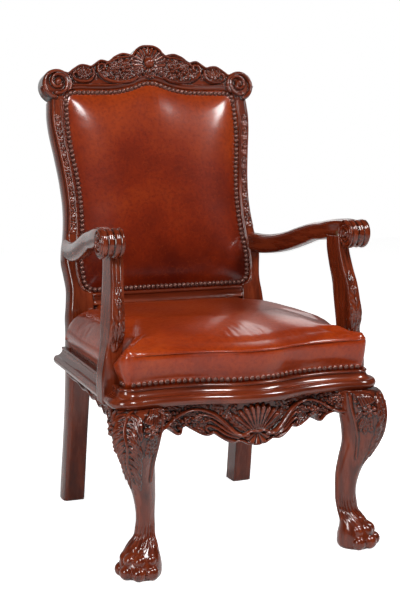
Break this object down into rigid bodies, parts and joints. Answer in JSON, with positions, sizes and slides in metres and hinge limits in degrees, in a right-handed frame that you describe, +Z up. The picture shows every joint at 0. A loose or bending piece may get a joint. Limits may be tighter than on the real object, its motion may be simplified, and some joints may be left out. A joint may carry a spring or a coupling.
{
  "type": "carved open armchair",
  "caption": "Carved wood open armchair: padded leather back, over-stuffed leather seat, scrolled arms, cabriole front legs on paw feet, raked rear legs.",
  "frame": {"origin": "on the floor, under the middle of the whole chair's box", "axes": "+X to the right of someone who faces the chair, +Y from front to back, +Z up"},
  "size_m": [0.6274, 0.7364, 1.1216],
  "materials": {
    "mahogany": "dark red polished mahogany, glossy, darker in the carving's hollows",
    "frame_wood": "plain sawn hardwood, unfinished",
    "leather": "cognac leather, glossy, mottled patina with fine creases",
    "nail_bronze": "dark antique bronze, domed",
    "steel": "plain steel",
    "hessian": "woven jute",
    "webbing": "woven jute webbing",
    "stuffing": "stitched fibre",
    "dust_cloth": "thin black cloth"
  },
  "bodies": {
    "root": {"front_leg_left": "mahogany", "front_leg_right": "mahogany", "rear_post_left": "mahogany", "rear_post_right": "mahogany", "crest_rail": "mahogany", "lower_back_rail": "mahogany", "front_rail": "mahogany", "side_rail_left": "mahogany", "side_rail_right": "mahogany", "front_moulding": "mahogany", "side_moulding_left": "mahogany", "side_moulding_right": "mahogany", "arm_left": "mahogany", "arm_right": "mahogany", "arm_post_left": "mahogany", "arm_post_right": "mahogany", "back_seat_rail": "frame_wood", "front_corner_block_left": "frame_wood", "front_corner_block_right": "frame_wood", "rear_corner_block_left": "frame_wood", "rear_corner_block_right": "frame_wood", "arm_dowels": "frame_wood", "crest_dowels": "frame_wood", "seat_leather": "leather", "back_leather": "leather", "outside_back_leather": "leather", "seat_nails": "nail_bronze", "back_nails": "nail_bronze", "outside_back_nails": "nail_bronze", "corner_block_screws": "steel", "arm_post_screws": "steel", "arm_root_screws": "steel", "seat_springs": "steel", "spring_clips": "steel", "seat_hessian": "hessian", "back_hessian": "hessian", "back_webbing_upright": "webbing", "back_webbing_level": "webbing", "seat_stuffing": "stuffing", "back_stuffing": "stuffing", "dust_cover": "dust_cloth"}
  },
  "joints": []
}
